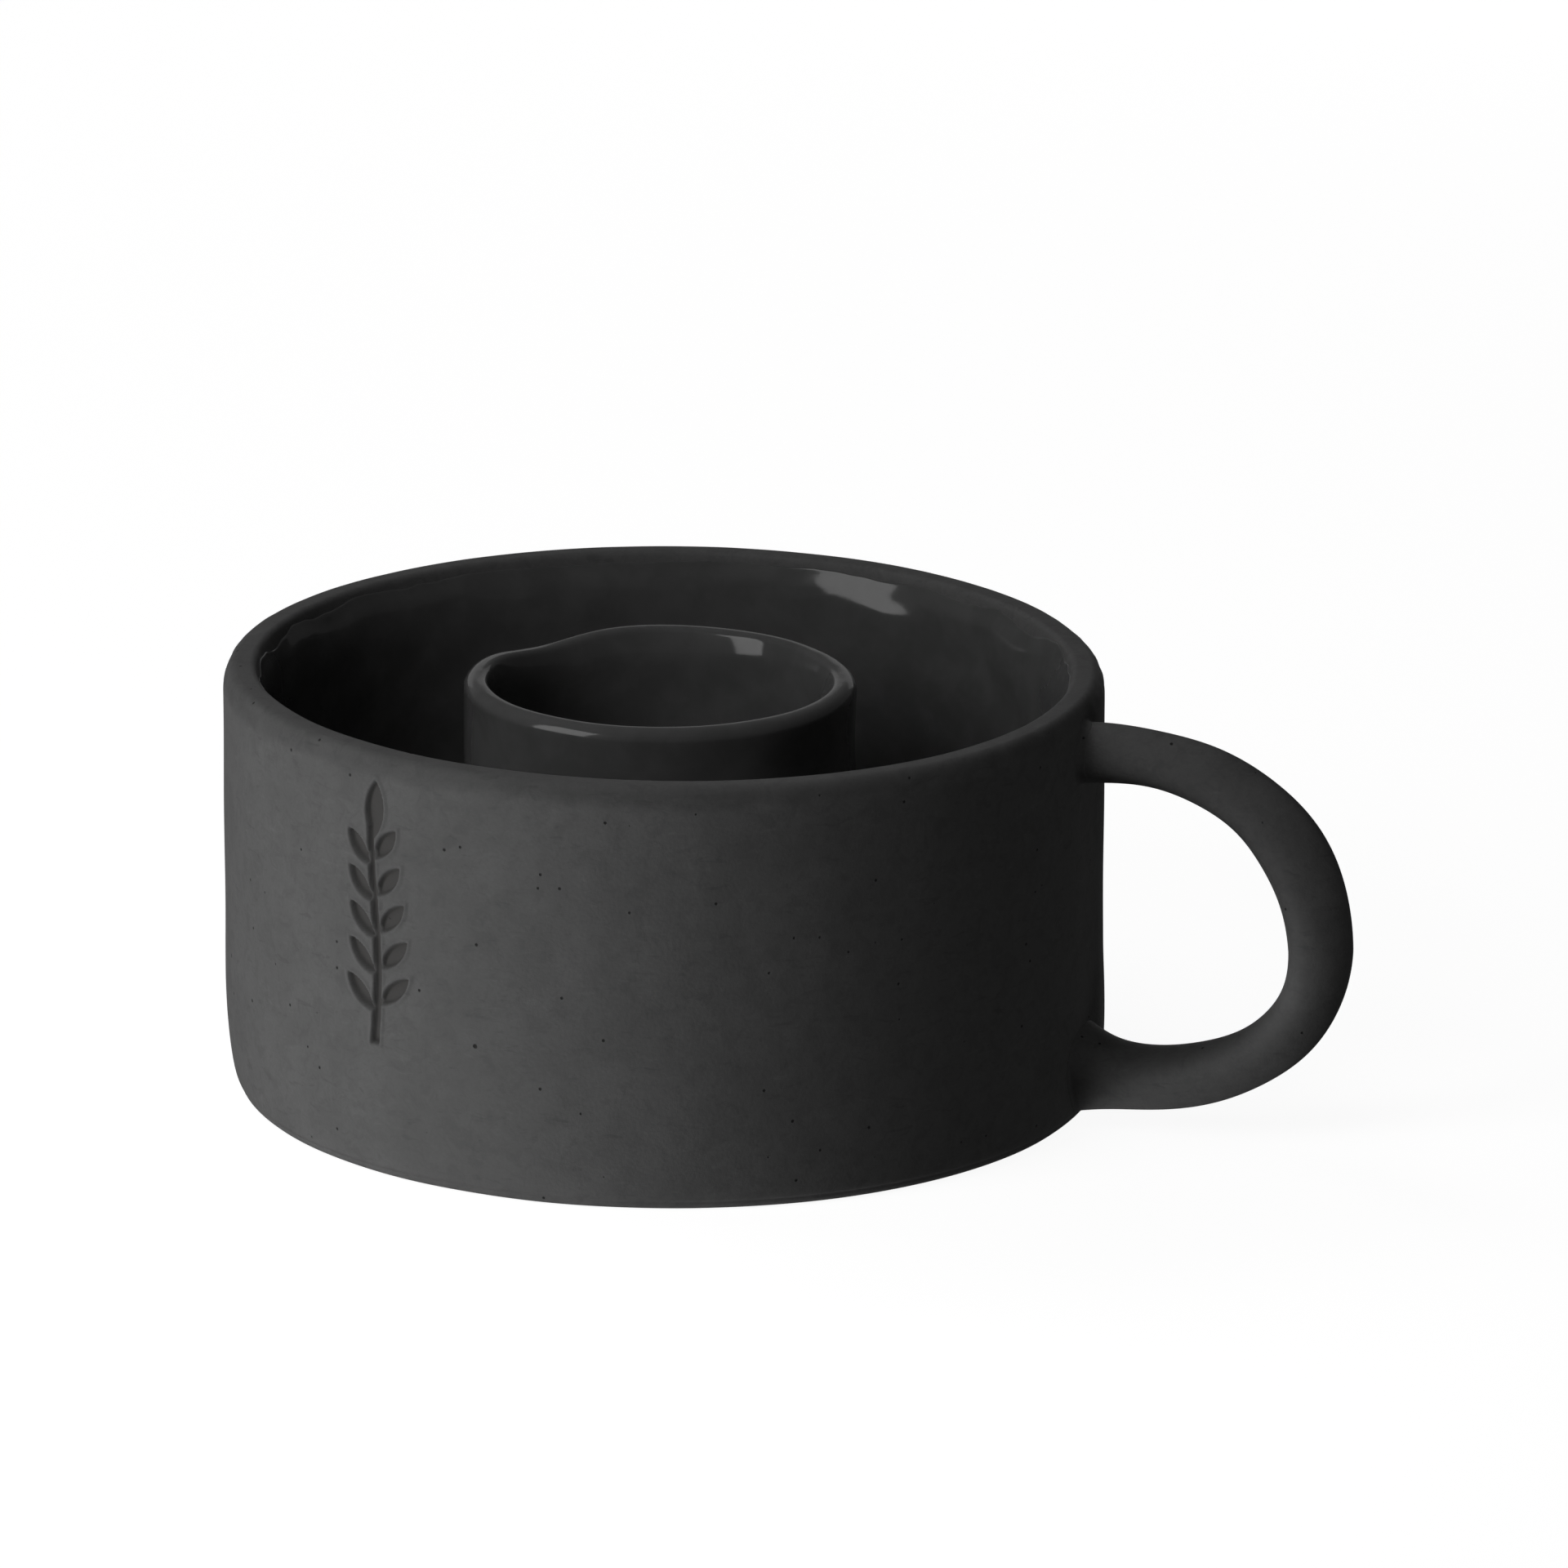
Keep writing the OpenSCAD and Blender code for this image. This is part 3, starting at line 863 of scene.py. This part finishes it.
SEAM_COLUMNS = 144
SEAM_ROWS = 15
SEAM_LEAST_W = 0.15
SEAM_BELOW_RIM = 0.9                    # the slip stays at least this far under the rim's top
SEAM_ROOT = 0.25                        # how deep the slip's back lies in the wall
SEAM_TUCK = 0.12                        # how far its back stands in from its edge
SEAM_SINK = 0.03                        # how deep the edge itself lies
LEVEL = 0.05                            # a direction that rises or falls less than this counts as level
NO_LIMIT = 99.0


def seam_piece(name, node, upper, width, lowest_z, lift):
    """Slip wiped into the corner between the wall and one end of the handle, as a hollow curve.

    width is how far the slip spreads, and lowest_z is as far down as it may reach. lift, a function
    of the angle round the handle, is how far its edge on the wall stands proud.
    """
    angle = np.linspace(0, math.tau, SEAM_COLUMNS, endpoint=False)
    uneven = 1 + 0.22 * ripple(angle, 0 * angle, 71 if upper else 72, 6, 9.0, 3.0, HANDLE_R)
    spread = width * uneven
    u_line = np.linspace(0, 0.2, 400) if upper else np.linspace(1, 0.8, 400)
    centre_line = handle_centre(u_line)

    def on_handle(past_wall):
        """Points of the handle's skin past_wall mm out from the wall."""
        out = np.empty((len(angle), 3))
        for k, a in enumerate(angle):
            u = np.array([np.interp(past_wall[k] + BOWL_HIGH[1], centre_line[:, 0], u_line)])
            a = np.array([a])
            out[k] = handle_points(u, a, handle_unevenness(u, a))[0, 0]
        return out

    top = on_handle(spread)
    corner = on_handle(np.full(len(angle), 0.0))
    at_wall = np.argmin(np.abs(centre_line[:, 0] - BOWL_HIGH[1]))
    middle = handle_centre(u_line[at_wall:at_wall + 1])[0]
    away = corner[:, 1:] - np.array([0.0, middle[1]])
    reach = np.linalg.norm(away, axis=1)
    away = away / reach[:, None]

    def room(toward, height):
        """How far the slip may spread in each direction before it has gone that far in height."""
        return np.where(toward > LEVEL, height / np.maximum(toward, LEVEL) - reach, NO_LIMIT)

    above_foot = room(-away[:, 1], middle[1] - lowest_z)
    wide = np.minimum(spread, np.maximum(above_foot, SEAM_LEAST_W))
    if upper:
        below_rim = room(away[:, 1], RIM_Z - SEAM_BELOW_RIM - middle[1])
        wide = np.minimum(wide, np.maximum(below_rim, SEAM_LEAST_W))

    def wall_point(beyond, rise):
        """Points of the wall beyond the handle's outline, raised by rise."""
        y = away[:, 0] * (reach + beyond)
        z = middle[1] + away[:, 1] * (reach + beyond)
        return on_wall(y, z, rise)

    edge_under = wall_point(wide - SEAM_TUCK, np.full(len(angle), -SEAM_ROOT))
    edge = wall_point(wide, lift(angle) - SEAM_SINK)
    bend = wall_point(0 * wide, 0 * wide)
    bend[:, 0] = np.minimum(bend[:, 0], top[:, 0] - 0.1)
    rows = [edge_under]
    for t in np.linspace(0, 1, SEAM_ROWS):
        rows.append(edge * (1 - t) ** 2 + 2 * bend * t * (1 - t) + top * t ** 2)
    inward = np.zeros((len(angle), 3))
    inward[:, 1:] = -away
    rows.append(top + 0.3 * inward)
    rows.append(bend + 0.6 * inward + np.array([-0.6, 0, 0]))
    verts = np.concatenate(rows)
    faces = grid_faces(len(rows), len(angle), True)
    seam = new_piece(name, verts, faces, SLIP)
    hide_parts(node)


# ---------------------------------------------------------------------------------------------
# Floor, light and camera
# ---------------------------------------------------------------------------------------------


def only_for_the_eye(obj):
    """A stage piece that the camera sees but that lights nothing and casts nothing."""
    obj.visible_diffuse = False
    obj.visible_glossy = False
    obj.visible_transmission = False
    obj.visible_shadow = False


def stage_material(name, glow, albedo):
    """A matt white that also glows, so that the ground stays pale whatever the lamps do."""
    material = bpy.data.materials.new(name)
    material.use_nodes = True
    tree = material.node_tree
    tree.nodes.clear()
    output = tree.nodes.new("ShaderNodeOutputMaterial")
    add = tree.nodes.new("ShaderNodeAddShader")
    light = tree.nodes.new("ShaderNodeEmission")
    light.inputs["Color"].default_value = (1, 1, 1, 1)
    light.inputs["Strength"].default_value = glow
    matt = tree.nodes.new("ShaderNodeBsdfDiffuse")
    matt.inputs["Color"].default_value = (albedo, albedo, albedo, 1)
    tree.links.new(light.outputs[0], add.inputs[0])
    tree.links.new(matt.outputs[0], add.inputs[1])
    tree.links.new(add.outputs[0], output.inputs["Surface"])
    return material


STAGE_SIZE = 6.0                        # metres from the part to the floor's edge
BACKDROP_SIDES = 48


def make_stage():
    """A pale floor, and a pale round wall behind it."""
    size = STAGE_SIZE
    corners = [(-size, -size, 0), (size, -size, 0), (size, size, 0), (-size, size, 0)]
    mesh = bpy.data.meshes.new("floor")
    mesh.from_pydata(corners, [], [(0, 1, 2, 3)])
    mesh.materials.append(stage_material("pale_floor", 0.93, 0.25))
    floor = bpy.data.objects.new("floor", mesh)
    bpy.context.scene.collection.objects.link(floor)
    only_for_the_eye(floor)

    steps = BACKDROP_SIDES
    wall_r = size * 0.95
    around = [math.tau * k / steps for k in range(steps)]
    verts = [(wall_r * math.cos(a), wall_r * math.sin(a), z) for z in (-0.2, size) for a in around]
    faces = [(k, (k + 1) % steps, steps + (k + 1) % steps, steps + k) for k in range(steps)]
    mesh = bpy.data.meshes.new("backdrop")
    mesh.from_pydata(verts, [], faces)
    mesh.materials.append(stage_material("pale_backdrop", 1.0, 0.0))
    backdrop = bpy.data.objects.new("backdrop", mesh)
    bpy.context.scene.collection.objects.link(backdrop)
    only_for_the_eye(backdrop)


LAMP_AIM_Z = 0.03                       # metres above the table


def softbox(name, azimuth, elevation, distance, width, height, power):
    """A rectangular lamp at an azimuth counted from the camera's, to the right, aimed at the part."""
    a, e = math.radians(CAMERA_AZIMUTH + azimuth), math.radians(elevation)
    toward = Vector((math.sin(a) * math.cos(e), -math.cos(a) * math.cos(e), math.sin(e)))
    lamp = bpy.data.lights.new(name, "AREA")
    lamp.shape = "RECTANGLE"
    lamp.size, lamp.size_y = width, height
    lamp.energy = power
    obj = bpy.data.objects.new(name, lamp)
    bpy.context.scene.collection.objects.link(obj)
    obj.location = Vector((0, 0, LAMP_AIM_Z)) + toward * distance
    obj.rotation_euler = toward.to_track_quat("Z", "Y").to_euler()
    obj.visible_camera = False
    return obj


# Soft lamps that only brighten the surfaces: name, azimuth, elevation, distance, side and watts.
# The ones below the table's level stand for the light that a white table throws back.
SOFT_LIGHT = (
    ("key_left", -45, 35, 0.35, 0.16, 0.34),
    ("table_front_left", -57, -35, 0.35, 0.24, 0.52),
    ("table_left", -80, -35, 1.1, 0.45, 3.2),
    ("side_left", -110, 35, 1.1, 0.45, 0.9),
    ("back_left", -143, 45, 1.1, 0.45, 1.2),
    ("overhead", -15, 65, 1.1, 0.45, 0.78),
    ("front_right", 50, -12, 1.1, 0.45, 0.72),
    ("behind", 164, 0, 1.1, 0.45, 3.4),
)


def make_lights():
    """The soft lamps, and a window and a backdrop that are seen only in the gloss."""
    for name, azimuth, elevation, distance, size, power in SOFT_LIGHT:
        lamp = softbox(name, azimuth, elevation, distance, size, size, power)
        lamp.visible_glossy = False
    window = softbox("window", -61, 22, 1.1, 0.52, 1.0, 5.0)
    window.visible_diffuse = False
    # the white backdrop, which draws a thin bright line on edges seen at a slant
    backdrop = softbox("backdrop", 180, 8, 1.1, 1.1, 0.4, 0.25)
    backdrop.visible_diffuse = False
    world = bpy.data.worlds.new("studio")
    bpy.context.scene.world = world
    world.use_nodes = True
    world.cycles_visibility.diffuse = False
    background = world.node_tree.nodes["Background"]
    background.inputs["Color"].default_value = (1, 1, 1, 1)
    background.inputs["Strength"].default_value = 0.09


# The camera's place and aim, fitted to the outline of the part in the photograph
ELEVATION = math.radians(17.2)
DISTANCE = 1.393                        # metres
PAN = math.radians(-0.607)
TILT = math.radians(0.432)
ROLL = math.radians(-0.312)
LENS = 256.9                            # millimetres
LOOK_AT = Vector((0, 0, 0.0269))


def make_camera():
    """Looks at the part from azimuth and elevation, then pans, tilts and rolls a little."""
    back = Vector((math.sin(SIDE) * math.cos(ELEVATION), -math.cos(SIDE) * math.cos(ELEVATION),
                   math.sin(ELEVATION)))
    forward = -back
    right = Vector((math.cos(SIDE), math.sin(SIDE), 0))
    up = right.cross(forward)
    turn = Matrix.Rotation(PAN, 3, up)
    forward, right = turn @ forward, turn @ right
    turn = Matrix.Rotation(TILT, 3, right)
    forward, up = turn @ forward, turn @ up
    turn = Matrix.Rotation(ROLL, 3, forward)
    right, up = turn @ right, turn @ up
    data = bpy.data.cameras.new("camera")
    data.lens = LENS
    data.sensor_width = 36.0
    data.clip_start = 0.05
    camera = bpy.data.objects.new("camera", data)
    bpy.context.scene.collection.objects.link(camera)
    place = Matrix((right, up, -forward)).transposed().to_4x4()
    place.translation = LOOK_AT + back * DISTANCE
    camera.matrix_world = place
    bpy.context.scene.camera = camera


make_bowl()
make_bowl_glaze()
make_cup_clay()
make_cup_glaze()
make_handle()
seam_piece("upper_handle_seam_slip", "upper_handle_seam", upper=True, width=0.5, lowest_z=0.0,
           lift=lambda a: 0 * a)
seam_piece("lower_handle_seam_slip", "lower_handle_seam", upper=False, width=0.5, lowest_z=0.45,
           lift=lambda a: 0.12 * smooth(-np.sin(a) + 0.3))
frame["nodes"]["cup_seam"].data.materials.clear()
frame["nodes"]["cup_seam"].data.materials.append(SLIP)
make_stage()
make_lights()
make_camera()
bpy.context.scene.view_settings.view_transform = "Standard"
